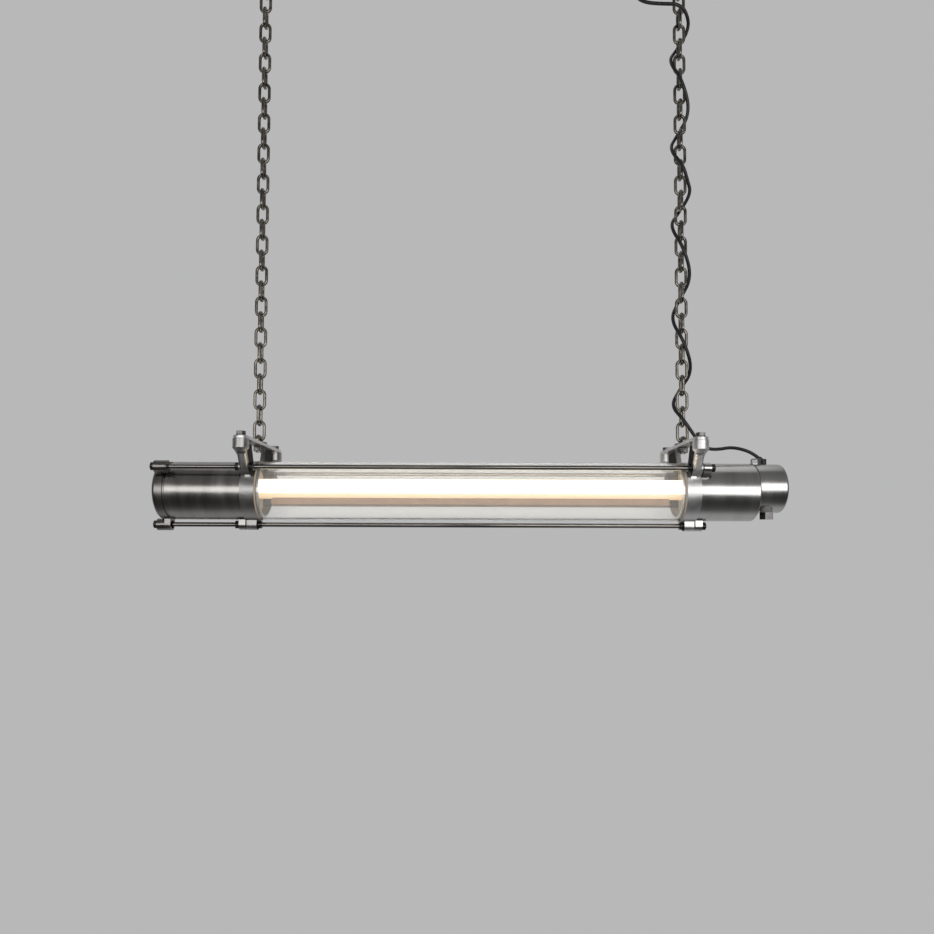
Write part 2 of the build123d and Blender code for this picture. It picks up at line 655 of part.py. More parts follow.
with BuildPart() as terminal_cover:
    with BuildSketch(across(1, COVER_IN, z=COVER_RAISE)):
        Circle(COVER_RADIUS)
    extrude(amount=COVER_LENGTH)
    fillet(terminal_cover.faces().sort_by(Axis.X)[-1].edges(), COVER_ROUND)
    with BuildSketch(level(COVER_RAISE, PLUG_X)):
        RegularPolygon(PLUG_FLATS / 2, 6, major_radius=False, rotation=HEX_TURN)
    extrude(amount=PLUG_SEAT - COVER_RAISE)
    with BuildSketch(level(COVER_RAISE, DRAIN_X, DRAIN_Y)):
        Circle(DRAIN_FLATS / 2 - FIT)
    extrude(amount=DRAIN_SEAT - COVER_RAISE)
    drill(1, COVER_IN, COVER_IN + COVER_LENGTH - COVER_WALL, COVER_BORE, z=COVER_RAISE)
    with BuildSketch(level(COVER_RAISE, GLAND_X, GLAND_Y)):
        Circle(GLAND_DIAMETER / 2 + SCREW_PLAY)
    extrude(amount=COVER_RADIUS, mode=Mode.SUBTRACT)
    with BuildSketch(level(COVER_RAISE, PLUG_X)):
        Circle(PLUG_DIAMETER / 2 + SCREW_PLAY)
    extrude(amount=PLUG_SEAT - COVER_RAISE, mode=Mode.SUBTRACT)
    with BuildSketch(level(COVER_RAISE, DRAIN_X, DRAIN_Y)):
        Circle(DRAIN_DIAMETER / 2 + SCREW_PLAY)
    extrude(amount=DRAIN_SEAT - COVER_RAISE, mode=Mode.SUBTRACT)
write(terminal_cover.part, "terminal_cover")

with BuildPart() as blanking_plug:
    with BuildSketch(level(PLUG_SEAT, PLUG_X)):
        RegularPolygon(PLUG_FLATS / 2, 6, major_radius=False, rotation=HEX_TURN)
    extrude(amount=PLUG_HEX_HEIGHT)
    fillet(blanking_plug.faces().sort_by(Axis.Z)[-1].edges(), PLUG_ROUND)
    with BuildSketch(level(PLUG_SEAT, PLUG_X)):
        Circle(PLUG_DIAMETER / 2)
    extrude(amount=-PLUG_SHANK)
write(blanking_plug.part, "blanking_plug")

# Cable gland: a bush in the cover's wall and a soft sleeve that leans with the cord
gland_foot = COVER_TOP - COVER_WALL - GLAND_DEPTH
gland_top = COVER_TOP + GLAND_HEIGHT
sleeve_tilt = math.radians(SLEEVE_LEAN)
sleeve_axis = Vector(-math.sin(sleeve_tilt), 0, math.cos(sleeve_tilt))
sleeve_root = Vector(GLAND_X, GLAND_Y, AXIS_Z + gland_top - SLEEVE_SINK)
sleeve_end = sleeve_root + sleeve_axis * SLEEVE_LENGTH
with BuildPart() as cable_gland:
    with BuildSketch(level(gland_foot, GLAND_X, GLAND_Y)):
        Circle(GLAND_DIAMETER / 2)
    extrude(amount=gland_top - gland_foot)
    with BuildSketch(Plane(origin=sleeve_root, z_dir=sleeve_axis)):
        Circle(SLEEVE_DIAMETER / 2)
    extrude(amount=SLEEVE_LENGTH)
write(cable_gland.part, "cable_gland")

# Drain plug below the terminal cover
with BuildPart() as drain_plug:
    with BuildSketch(level(DRAIN_BOTTOM, DRAIN_X, DRAIN_Y)):
        RegularPolygon(DRAIN_FLATS / 2, 6, major_radius=False)
    extrude(amount=DRAIN_HEX_HEIGHT)
    with BuildSketch(level(DRAIN_SEAT, DRAIN_X, DRAIN_Y)):
        Circle(DRAIN_DIAMETER / 2)
    extrude(amount=DRAIN_SHANK)
write(drain_plug.part, "drain_plug")

# Tie rods and their nuts: each rod has a nut at its ends and on both sides of the collars
ROD_OUT = HOUSING_LUG_OUT + M6_NUT_HEIGHT + ROD_TIP
for (name, ear), rod in zip(ROD_EARS.items(), RODS):
    with BuildPart() as tie_rod:
        rod_end = ear[1] + M6_NUT_HEIGHT + ROD_TIP
        with BuildSketch(across(1, -rod_end, *rod)):
            Circle(ROD_DIAMETER / 2)
        extrude(amount=rod_end + ROD_OUT)
    write(tie_rod.part, f"tie_rod_{name}")

with BuildPart() as rod_nuts:
    for (name, ear), rod in zip(ROD_EARS.items(), RODS):
        left_stop = HOUSING_LUG_OUT if name == "bottom" else LUG_OUT
        seats = [(-1, ear[1]), (-1, left_stop), (1, HOUSING_LUG_OUT)]
        seats += [(side, LUG_IN - M6_NUT_HEIGHT) for side in (-1, 1)]
        for side, out in seats:
            hex_nut(across(side, out, *rod), M6_FLATS, M6_NUT_HEIGHT, ROD_HOLE)
write(rod_nuts.part, "rod_nuts")

# Glass tube and the gaskets at its ends
with BuildPart() as glass_tube:
    tube(1, -GLASS_LENGTH / 2, GLASS_LENGTH / 2, GLASS_RADIUS, GLASS_BORE)
write(glass_tube.part, "glass_tube")

for name, side in SIDES:
    with BuildPart() as glass_gasket:
        tube(side, GLASS_LENGTH / 2, COLLAR_IN, GLASS_RADIUS, GLASS_BORE)
    write(glass_gasket.part, f"glass_gasket_{name}")

# Light tube: diffuser, board, end caps and pins
LIT_HALF = TUBE_HALF - TUBE_CAP_LENGTH
TUBE_BORE = TUBE_RADIUS - TUBE_WALL
BOARD_DROP = math.sqrt((TUBE_BORE - FIT) ** 2 - (BOARD_WIDTH / 2) ** 2)
with BuildPart() as tube_diffuser:
    tube(1, -LIT_HALF, LIT_HALF, TUBE_RADIUS, TUBE_BORE, TUBE_RAISE)
write(tube_diffuser.part, "tube_diffuser")

with BuildPart() as tube_board:
    with BuildSketch(across(1, -LIT_HALF, z=TUBE_RAISE + BOARD_THICKNESS / 2 - BOARD_DROP)):
        Rectangle(BOARD_WIDTH, BOARD_THICKNESS)
    extrude(amount=2 * LIT_HALF)
write(tube_board.part, "tube_board")

with BuildPart() as tube_caps:
    for name, side in SIDES:
        with BuildSketch(across(side, LIT_HALF, z=TUBE_RAISE)):
            Circle(TUBE_RADIUS)
        extrude(amount=TUBE_CAP_LENGTH)
write(tube_caps.part, "tube_caps")

with BuildPart() as tube_pins:
    for name, side in SIDES:
        with BuildSketch(across(side, TUBE_HALF, z=TUBE_RAISE)):
            with GridLocations(0, PIN_SPACING, 1, 2):
                Circle(PIN_DIAMETER / 2)
        extrude(amount=PIN_LENGTH)
write(tube_pins.part, "tube_pins")

# Holder plates, lampholders and the saddles behind the tube's ends
PLATE_IN = LEDGE_OUT - HOLDER_PLATE
SADDLE_OUT = PLATE_IN - SADDLE_STANDOFF
SADDLE_IN = SADDLE_OUT - SADDLE_LENGTH
for name, side in SIDES:
    with BuildPart() as holder_plate:
        with BuildSketch(across(side, PLATE_IN)):
            Circle(COLLAR_BORE - FIT)
        extrude(amount=HOLDER_PLATE)
        drill(side, PLATE_IN, LEDGE_OUT, HOLDER_BORE, z=TUBE_RAISE)
    write(holder_plate.part, f"holder_plate_{name}")

    with BuildPart() as lampholder:
        with BuildSketch(across(side, LEDGE_OUT, z=TUBE_RAISE)):
            Circle(HOLDER_RADIUS)
        extrude(amount=HOLDER_OUT - LEDGE_OUT)
        drill(side, LEDGE_OUT, TUBE_HALF + FIT, HOLDER_BORE, z=TUBE_RAISE)
        pocket_out = TUBE_HALF + PIN_LENGTH + FIT
        drill(side, TUBE_HALF, pocket_out, HOLDER_POCKET_DIAMETER / 2, z=TUBE_RAISE)
    write(lampholder.part, f"lampholder_{name}")

    with BuildPart() as tube_saddle:
        arm_depth, arm_height = SADDLE_ARM
        with BuildSketch(across(side, SADDLE_IN, z=TUBE_RAISE)):
            Circle(SADDLE_RADIUS)
            Circle(HOLDER_BORE, mode=Mode.SUBTRACT)
            with Locations((-side * SADDLE_RADIUS / 2, 0)):
                Rectangle(SADDLE_RADIUS, 2 * SADDLE_RADIUS, mode=Mode.SUBTRACT)
        extrude(amount=SADDLE_LENGTH)
        with BuildSketch(across(side, SADDLE_OUT, HOLDER_BORE + arm_depth, TUBE_RAISE)):
            Rectangle(arm_depth, arm_height)
        extrude(amount=SADDLE_STANDOFF)
    write(tube_saddle.part, f"tube_saddle_{name}")

# Wireway below the tube, a thick arc in section that reaches from saddle to saddle
with BuildPart() as wireway:
    flank_y = 2 * SADDLE_RADIUS * math.sin(math.radians(WIREWAY_SPREAD))
    flank_z = 2 * SADDLE_RADIUS * math.cos(math.radians(WIREWAY_SPREAD))
    with BuildSketch(across(1, -SADDLE_IN, z=TUBE_RAISE)):
        Circle(SADDLE_RADIUS)
        Circle(HOLDER_BORE, mode=Mode.SUBTRACT)
        Polygon((0, 0), (-flank_y, -flank_z), (flank_y, -flank_z), align=None, mode=Mode.INTERSECT)
        with Locations((0, -(HOLDER_BORE + SADDLE_RADIUS) / 2)):
            Circle(WIREWAY_BORE / 2, mode=Mode.SUBTRACT)
    extrude(amount=2 * SADDLE_IN)
write(wireway.part, "wireway")

# Terminal block on the end wall, wires to the right lampholder and the cord's tail from the gland
with BuildPart() as terminal_block:
    with BuildSketch(across(1, RIGHT_END, z=BLOCK_TOP - BLOCK_HEIGHT / 2)):
        Rectangle(BLOCK_WIDTH, BLOCK_HEIGHT)
    extrude(amount=BLOCK_LENGTH)
write(terminal_block.part, "terminal_block")

with BuildPart() as inner_wires:
    for y in (-WIRE_SPACING / 2, WIRE_SPACING / 2):
        down_x = RIGHT_END + BLOCK_WIRE_INSET
        with BuildLine(Plane(origin=(0, y, AXIS_Z), x_dir=(1, 0, 0), z_dir=(0, -1, 0))):
            FilletPolyline(
                (HOLDER_OUT, WIRE_HEIGHT), (down_x, WIRE_HEIGHT), (down_x, BLOCK_TOP), radius=WIRE_BEND
            )
        with BuildSketch(across(1, HOLDER_OUT, y, WIRE_HEIGHT)):
            Circle(WIRE_DIAMETER / 2)
        sweep()
write(inner_wires.part, "inner_wires")

with BuildPart() as supply_tail:
    with BuildSketch(level(BLOCK_TOP, GLAND_X, GLAND_Y)):
        Circle(CORD_DIAMETER / 2)
    extrude(amount=gland_foot - BLOCK_TOP)
write(supply_tail.part, "supply_tail")

# Supply cord, in the four stretches between the things that it hangs from
cord_stretch(CORD_CEILING_POINTS, "cord_ceiling")
cord_stretch(CORD_UPPER_POINTS, "cord_upper")
cord_stretch(CORD_LOWER_POINTS, "cord_lower")
cord_lead = sleeve_end + sleeve_axis * CORD_LEAD
cord_stretch(CORD_LOOP_POINTS + [tuple(cord_lead), tuple(sleeve_end)], "cord_loop")
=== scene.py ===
"""Looks of an industrial tube light on two chains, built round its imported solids.

Metres throughout, in the solids' own frame: the origin is on the ceiling midway between the
hooks, +X runs to the cable end and +Z is up. The photograph's viewer stands on the -Y side.
"""
import json
import math

import bpy
import numpy as np
from mathutils import Euler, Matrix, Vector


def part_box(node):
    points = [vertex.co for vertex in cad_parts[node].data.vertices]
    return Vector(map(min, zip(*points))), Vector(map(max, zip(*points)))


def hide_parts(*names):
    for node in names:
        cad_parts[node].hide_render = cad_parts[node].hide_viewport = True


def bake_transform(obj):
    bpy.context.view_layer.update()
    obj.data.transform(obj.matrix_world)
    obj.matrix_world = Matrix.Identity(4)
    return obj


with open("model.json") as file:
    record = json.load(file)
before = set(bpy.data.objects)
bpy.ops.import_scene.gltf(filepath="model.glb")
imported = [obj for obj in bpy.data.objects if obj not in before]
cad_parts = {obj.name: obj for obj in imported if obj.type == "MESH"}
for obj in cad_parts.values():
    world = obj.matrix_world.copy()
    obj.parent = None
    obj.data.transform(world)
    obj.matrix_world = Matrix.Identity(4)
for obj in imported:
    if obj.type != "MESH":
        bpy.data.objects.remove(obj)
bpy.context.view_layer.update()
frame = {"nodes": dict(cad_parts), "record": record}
NODES = frame["nodes"]

MM = 0.001

# Places read from the solids
GLASS_LOW, GLASS_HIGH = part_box("glass_tube")
AXIS_Z = (GLASS_LOW[2] + GLASS_HIGH[2]) / 2
TUBE_LOW, TUBE_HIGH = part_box("tube_diffuser")
ROD_LOW, ROD_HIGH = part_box("tie_rod_rear")
PLUG_LOW, PLUG_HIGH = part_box("drain_plug")

# Collar arms: the plane of their faces towards the lamp's middle, the ring that carries them,
# and the axis and radius of each neck and of each cup, at the cable end on the far side
ARM_FACE_X = 278.0 * MM
RING_RADIUS = 39.0 * MM
NECK_FOOT = (285.0 * MM, (ROD_LOW[1] + ROD_HIGH[1]) / 2, (ROD_LOW[2] + ROD_HIGH[2]) / 2)
NECK_HEAD = (277.3 * MM, 75.0 * MM, AXIS_Z + 45.25 * MM)
NECK_RADIUS = 6.0 * MM
CUP_PLACE = (278.3 * MM, 75.0 * MM, 0.0)
CUP_RADIUS = 9.75 * MM
CUP_FOOT_Z = AXIS_Z + 43.0 * MM

# How near to that plane a face gets painted shade, and how far the painted shade keeps off the
# ring, and off the necks and cups
PAINTED_SHADE_DEPTH = 0.4 * MM
RING_MARGIN = 1.5 * MM
ARM_MARGIN = 0.2 * MM

# The boss that the drain plug screws into, below the terminal cover, painted matt grey as shade
BOSS_PLACE = ((PLUG_LOW[0] + PLUG_HIGH[0]) / 2, (PLUG_LOW[1] + PLUG_HIGH[1]) / 2, 0.0)
BOSS_RADIUS = 7.8 * MM
BOSS_TOP_Z = AXIS_Z - 15.0 * MM

# Camera of the photograph: a square picture of this many pixels, its focal length, and the
# column and row of the point straight ahead of a level camera
PICTURE_PX = 934
FOCAL_PX = 717.8
CENTRE_PX = 470.45
HORIZON_PX = 535.0
SENSOR_MM = 36.0
CAMERA_DISTANCE = 0.940
CAMERA_BELOW_AXIS = 0.0568
CAMERA_PITCH = math.radians(2.3)
CAMERA_ROLL = math.radians(-0.2)

# Supply cord: its diameter, the sides of its section, the steps of the line between two points of
# its route, the route in mm from the ceiling rose to the gland, as listed points, and the
# bodies that its stretches run between
CORD_DIAMETER = 4.4 * MM
CORD_SIDES = 20
ROUTE_STEPS = 10
CORD_STRETCHES = {
    "cord_ceiling": [
        (219.8, 0.0, -40.0), (219.8, 0.0, -49.0), (222.8, -2.0, -58.5), (232.8, -6.0, -67.0),
        (247.8, -10.0, -71.5), (259.8, -12.3, -73.5),
    ],
    "cord_upper": [
        (271.8, -14.6, -75.5), (283.8, -13.2, -83.0), (292.9, 0.0, -98.0), (278.3, 14.6, -120.0),
        (263.7, 0.0, -143.0), (278.3, -14.6, -179.0), (292.9, 0.0, -214.0), (278.3, 14.6, -239.0),
        (263.7, 0.0, -264.0), (278.3, -14.6, -294.0), (285.6, -7.3, -309.5),
    ],
    "cord_lower": [
        (292.9, 0.0, -325.0), (278.3, 14.6, -347.0), (263.7, 0.0, -369.0), (278.3, -14.6, -404.0),
        (292.9, 0.0, -439.0), (278.3, 14.6, -467.0), (263.7, 0.0, -495.0), (278.3, -14.6, -529.0),
        (292.9, 0.0, -564.0), (278.3, 14.6, -587.0), (263.7, 0.0, -610.0), (276.3, -14.4, -631.0),
        (285.3, -12.5, -643.5), (292.1, -11.0, -652.5),
    ],
    "cord_loop": [
        (298.9, -9.5, -661.5), (310.5, -7.5, -668.0), (326.0, -4.0, -667.5), (341.0, 0.0, -664.5),
        (358.0, 5.0, -666.0), (373.85, 7.0, -671.54), (381.51, 7.0, -677.96),
    ],
}


def mesh_piece(name, verts, faces, smooth=True):
    """A new mesh object at the origin from vertex and face arrays."""
    mesh = bpy.data.meshes.new(name)
    mesh.from_pydata(verts, [], faces)
    mesh.polygons.foreach_set("use_smooth", np.full(len(mesh.polygons), smooth))
    mesh.update()
    piece = bpy.data.objects.new(name, mesh)
    bpy.context.scene.collection.objects.link(piece)
    return piece


def grid_faces(rows, columns):
    """Quads of a grid of rows by columns vertices whose columns close into a ring."""
    row, column = np.meshgrid(np.arange(rows - 1), np.arange(columns), indexing="ij")
    here = row * columns + column
    beside = row * columns + (column + 1) % columns
    return np.stack([here, beside, beside + columns, here + columns], -1).reshape(-1, 4)


def tube_mesh(name, line, radius, sides):
    """Round tube: each point of the line carries a circle in the plane square to the line there."""
    tangent = np.gradient(line, axis=0)
    tangent /= np.linalg.norm(tangent, axis=1, keepdims=True)
    across = np.cross(tangent, (0.0, 1.0, 0.0))
    across /= np.linalg.norm(across, axis=1, keepdims=True)
    over = np.cross(tangent, across)
    angle = np.linspace(0, 2 * math.pi, sides, endpoint=False)[None, :, None]
    circle = np.cos(angle) * across[:, None] + np.sin(angle) * over[:, None]
    rings = line[:, None] + radius * circle
    faces = grid_faces(len(line), sides).tolist()
    faces.append(list(range(sides))[::-1])
    faces.append(list(range((len(line) - 1) * sides, len(line) * sides)))
    return mesh_piece(name, rings.reshape(-1, 3), faces)


def spline_line(points, resolution):
    """Points along the smooth NURBS spline that has the given points as its control points."""
    curve = bpy.data.curves.new("route", "CURVE")
    curve.dimensions = "3D"
    spline = curve.splines.new("NURBS")
    spline.points.add(len(points) - 1)
    spline.points.foreach_set("co", np.column_stack([points, np.ones(len(points))]).ravel())
    spline.order_u = 3
    spline.use_endpoint_u = True
    spline.resolution_u = resolution
    holder = bpy.data.objects.new("route", curve)
    bpy.context.scene.collection.objects.link(holder)
    line_mesh = bpy.data.meshes.new_from_object(holder)
    line = np.empty(len(line_mesh.vertices) * 3)
    line_mesh.vertices.foreach_get("co", line)
    bpy.data.objects.remove(holder)
    return line.reshape(-1, 3)


# Roughness of every noise, and the two factors that most of it lies between
NOISE_ROUGHNESS = 0.55
NOISE_LOW = 0.3
NOISE_HIGH = 0.7


class Nodes:
    """Short calls for the nodes that the finishes and the studio use, on one node tree."""

    def __init__(self, tree, coords):
        self.tree = tree
        self.coords = tree.nodes.new("ShaderNodeTexCoord").outputs[coords]

    def put(self, socket, value):
        """Links a socket, or sets a plain value, on another node's input."""
        if isinstance(value, bpy.types.NodeSocket):
            self.tree.links.new(value, socket)
        else:
            socket.default_value = value

    def axes(self):
        """The coordinates' three parts."""
        split = self.tree.nodes.new("ShaderNodeSeparateXYZ")
        self.put(split.inputs["Vector"], self.coords)
        return split.outputs

    def noise(self, scale, stretch=(1, 1, 1), detail=4.0):
        """Noise of that many features per metre, with the coordinates stretched first."""
        mapping = self.tree.nodes.new("ShaderNodeMapping")
        mapping.inputs["Scale"].default_value = stretch
        self.put(mapping.inputs["Vector"], self.coords)
        noise = self.tree.nodes.new("ShaderNodeTexNoise")
        noise.inputs["Scale"].default_value = scale
        noise.inputs["Detail"].default_value = detail
        noise.inputs["Roughness"].default_value = NOISE_ROUGHNESS
        self.put(noise.inputs["Vector"], mapping.outputs["Vector"])
        return noise.outputs["Fac"]

    def ramp(self, fac, *stops):
        """Colour ramp through (place, colour) stops; a single number is a grey."""
        node = self.tree.nodes.new("ShaderNodeValToRGB")
        elements = node.color_ramp.elements
        while len(elements) < len(stops):
            elements.new(0.5)
        for element, (place, colour) in zip(elements, stops):
            element.position = place
            rgb = (colour,) * 3 if isinstance(colour, (int, float)) else colour
            element.color = (*rgb, 1.0)
        self.put(node.inputs["Fac"], fac)
        return node.outputs["Color"]

    def span(self, fac, low, high, start=0.0, end=1.0):
        """A factor between start and end remapped to run from low to high."""
        node = self.tree.nodes.new("ShaderNodeMapRange")
        node.inputs["From Min"].default_value = start
        node.inputs["From Max"].default_value = end
        node.inputs["To Min"].default_value = low
        node.inputs["To Max"].default_value = high
        self.put(node.inputs["Value"], fac)
        return node.outputs["Result"]

    def math(self, operation, first, second=0.0):
        """One sum, product, comparison or other operation on numbers."""
        node = self.tree.nodes.new("ShaderNodeMath")
        node.operation = operation
        self.put(node.inputs[0], first)
        self.put(node.inputs[1], second)
        return node.outputs["Value"]

    def vector(self, operation, first, second=None, output="Vector"):
        """One operation on one or two vectors, which gives a vector or, as Value, a number."""
        node = self.tree.nodes.new("ShaderNodeVectorMath")
        node.operation = operation
        self.put(node.inputs[0], first)
        if second is not None:
            self.put(node.inputs[1], second)
        return node.outputs[output]

    def join(self, x, y, z):
        """A vector of three parts."""
        node = self.tree.nodes.new("ShaderNodeCombineXYZ")
        for socket, value in zip(node.inputs, (x, y, z)):
            self.put(socket, value)
        return node.outputs["Vector"]

    def mix(self, fac, first, second):
        """Colour that runs from the first to the second as the factor goes from 0 to 1."""
        node = self.tree.nodes.new("ShaderNodeMix")
        node.data_type = "RGBA"
        self.put(node.inputs["Factor"], fac)
        self.put(node.inputs["A"], first)
        self.put(node.inputs["B"], second)
        return node.outputs["Result"]

    def bump(self, height, depth, strength=1.0, below=None):
        """Bump of a real depth in metres, on top of another bump if one is given."""
        node = self.tree.nodes.new("ShaderNodeBump")
        node.inputs["Strength"].default_value = strength
        node.inputs["Distance"].default_value = depth
        self.put(node.inputs["Height"], height)
        if below is not None:
            self.put(node.inputs["Normal"], below)
        return node.outputs["Normal"]


class Finish(Nodes):
    """A material with its surface shader, patterned in object coordinates."""

    def __init__(self, name):
        self.material = bpy.data.materials.new(name)
        self.material.use_nodes = True
        super().__init__(self.material.node_tree, "Object")
        self.surface = self.tree.nodes["Principled BSDF"]

    def set(self, **values):
        """Sets inputs of the surface shader: underscores stand for spaces."""
        for name, value in values.items():
            self.put(self.surface.inputs[name.replace("_", " ")], value)


def arm_painted_shade(finish):
    """1 on the collar arms' flat faces towards the middle, 0 elsewhere.

    These faces get black painted shade: they lie within its depth of the faces' plane, outside the
    ring, further from the neck's axis than the neck's radius, and either below the cup or outside
    it, each with its margin. Both ends and both sides are folded on to one arm.
    """
    x, y, z = finish.axes()
    out, aside = finish.math("ABSOLUTE", x), finish.math("ABSOLUTE", y)
    off_plane = finish.math("ABSOLUTE", finish.math("SUBTRACT", out, ARM_FACE_X))
    near = finish.math("LESS_THAN", off_plane, PAINTED_SHADE_DEPTH)

    from_axis = finish.join(0.0, y, finish.math("SUBTRACT", z, AXIS_Z))
    radius = finish.vector("LENGTH", from_axis, output="Value")
    off_ring = finish.math("GREATER_THAN", radius, RING_RADIUS + RING_MARGIN)

    lean = np.subtract(NECK_HEAD, NECK_FOOT)
    from_foot = finish.vector("SUBTRACT", finish.join(out, aside, z), NECK_FOOT)
    square = finish.vector("CROSS_PRODUCT", from_foot, tuple(lean / np.linalg.norm(lean)))
    from_neck = finish.vector("LENGTH", square, output="Value")
    off_neck = finish.math("GREATER_THAN", from_neck, NECK_RADIUS + ARM_MARGIN)

    from_cup = finish.vector("DISTANCE", finish.join(out, aside, 0.0), CUP_PLACE, "Value")
    beside_cup = finish.math("GREATER_THAN", from_cup, CUP_RADIUS + ARM_MARGIN)
    off_cup = finish.math("MAXIMUM", beside_cup, finish.math("LESS_THAN", z, CUP_FOOT_Z))

    face = finish.math("MULTIPLY", near, off_ring)
    return finish.math("MULTIPLY", face, finish.math("MULTIPLY", off_neck, off_cup))


def boss_painted_shade(finish):
    """1 on the boss for the drain plug: within its radius of the plug's axis, and below its top."""
    # The boss gets matt grey painted shade
    x, y, z = finish.axes()
    away = finish.vector("DISTANCE", finish.join(x, y, 0.0), BOSS_PLACE, "Value")
    return finish.math("MULTIPLY", finish.math("LESS_THAN", away, BOSS_RADIUS),
                       finish.math("LESS_THAN", z, BOSS_TOP_Z))


# Painted shade on faces that are not bare steel: its black and grey tones, and how rough it is
SHADE_BLACK = (0.012, 0.011, 0.01, 1.0)
SHADE_GREY = (0.2, 0.196, 0.19, 1.0)
MATT_ROUGHNESS = 0.9

# Steel's fine marks and dents for each metre, the marks' depth, and where its light tone is full
STEEL_MARKS = 480.0
STEEL_DENTS = 28.0
MARK_DEPTH = 0.004 * MM
LIGHT_STOP = 0.72


def steel(name, dark, light, smooth, dull, mottle=70.0, grain=(1, 1, 1), dent=0.1 * MM,
          painted_shade=None, tone=SHADE_BLACK):
    """Bare steel: patches of two tones, fine marks along the grain and a slightly uneven face.

    Where a mask of painted shade is given, its faces are not bare but matt, in the given tone.
    """
    finish = Finish(name)
    patches = finish.noise(mottle, grain, detail=3.0)
    marks = finish.noise(STEEL_MARKS, grain, detail=2.0)
    colour = finish.ramp(patches, (NOISE_LOW, dark), (LIGHT_STOP, light))
    roughness = finish.span(patches, smooth, dull, NOISE_LOW, NOISE_HIGH)
    finish.set(Metallic=1.0)
    if painted_shade is not None:
        matt = painted_shade(finish)
        colour = finish.mix(matt, colour, tone)
        matt_roughness = finish.math("MULTIPLY", matt, MATT_ROUGHNESS)
        roughness = finish.math("MAXIMUM", roughness, matt_roughness)
        finish.set(Metallic=finish.math("SUBTRACT", 1.0, matt))
    finish.set(Base_Color=colour, Roughness=roughness)
    uneven = finish.bump(finish.noise(STEEL_DENTS, detail=1.0), dent)
    finish.set(Normal=finish.bump(marks, MARK_DEPTH, strength=0.5, below=uneven))
    return finish.material


# Changes of tone in plastic for each metre, the spread of its roughness and its grain's depth
PLASTIC_TONES = 90.0
ROUGHNESS_SPREAD = 0.08
GRAIN_DEPTH = 0.02 * MM


def plastic(name, colour, shade, roughness, grain=900.0):
    """Moulded plastic, rubber or paint: a faint change of tone and a fine grain."""
    finish = Finish(name)
    tones = finish.noise(PLASTIC_TONES)
    finish.set(Base_Color=finish.ramp(tones, (NOISE_LOW, shade), (NOISE_HIGH, colour)))
    finish.set(Roughness=finish.span(finish.noise(grain), roughness - ROUGHNESS_SPREAD,
                                     roughness + ROUGHNESS_SPREAD))
    finish.set(Normal=finish.bump(finish.noise(grain, detail=2.0), GRAIN_DEPTH, strength=0.4))
    return finish.material


def clear_glass(name):
    """Clear glass with a faint bloom that catches the tube's light, and drawing lines along it."""
    finish = Finish(name)
    finish.set(Base_Color=(0.97, 0.97, 0.96, 1.0), Transmission_Weight=0.92, IOR=1.47)
    streaks = finish.noise(scale=60.0, stretch=(0.06, 1, 1), detail=2.0)
    finish.set(Roughness=finish.span(streaks, low=0.0, high=0.03, start=0.35, end=0.75))
    finish.set(Normal=finish.bump(streaks, depth=0.02 * MM, strength=0.3))
    nodes = finish.tree.nodes
    mix = nodes.new("ShaderNodeMixShader")
    finish.put(mix.inputs[0], nodes.new("ShaderNodeLightPath").outputs["Is Shadow Ray"])
    finish.put(mix.inputs[1], finish.surface.outputs["BSDF"])
    finish.put(mix.inputs[2], nodes.new("ShaderNodeBsdfTransparent").outputs["BSDF"])
    finish.put(nodes["Material Output"].inputs["Surface"], mix.outputs["Shader"])
    return finish.material


# The lit tube from its foot (0) to its top (1): where its board's upper edge shows and where its
# crown begins, the colours there, and how strongly each part glows
BOARD_EDGE = (0.26, 0.32)
CROWN_EDGE = (0.95, 0.99)
FOOT_GLOW = (1.0, 0.62, 0.29)
BOARD_GLOW = (1.0, 0.74, 0.4)
WHITE_GLOW = (1.0, 0.84, 0.6)
CROWN_GLOW = (1.0, 0.64, 0.38)
BOARD_STRENGTH = 0.7
WHITE_STRENGTH = 4.0
CROWN_SHARE = 0.22


def lit_diffuser(name):
    """Lit opal tube: white, but yellow in front of its board and orange along its crown."""
    finish = Finish(name)
    height = finish.span(finish.axes()["Z"], 0.0, 1.0, TUBE_LOW[2], TUBE_HIGH[2])
    glow = finish.ramp(
        height, (0.0, FOOT_GLOW), (BOARD_EDGE[0], BOARD_GLOW), (BOARD_EDGE[1], WHITE_GLOW),
        (CROWN_EDGE[0], WHITE_GLOW), (CROWN_EDGE[1], CROWN_GLOW),
    )
    lower = finish.span(height, BOARD_STRENGTH, WHITE_STRENGTH, *BOARD_EDGE)
    upper = finish.span(height, 1.0, CROWN_SHARE, *CROWN_EDGE)
    finish.set(Base_Color=(0.5, 0.46, 0.4, 1.0), Roughness=0.35)
    finish.set(Emission_Color=glow, Emission_Strength=finish.math("MULTIPLY", lower, upper))
    return finish.material


# Stretch of the marks: those of the lathe run round the lamp, so they change along X, and those of
# a drawn bar run along X
LATHE = (1.0, 0.18, 0.18)
DRAWN = (0.1, 1.0, 1.0)
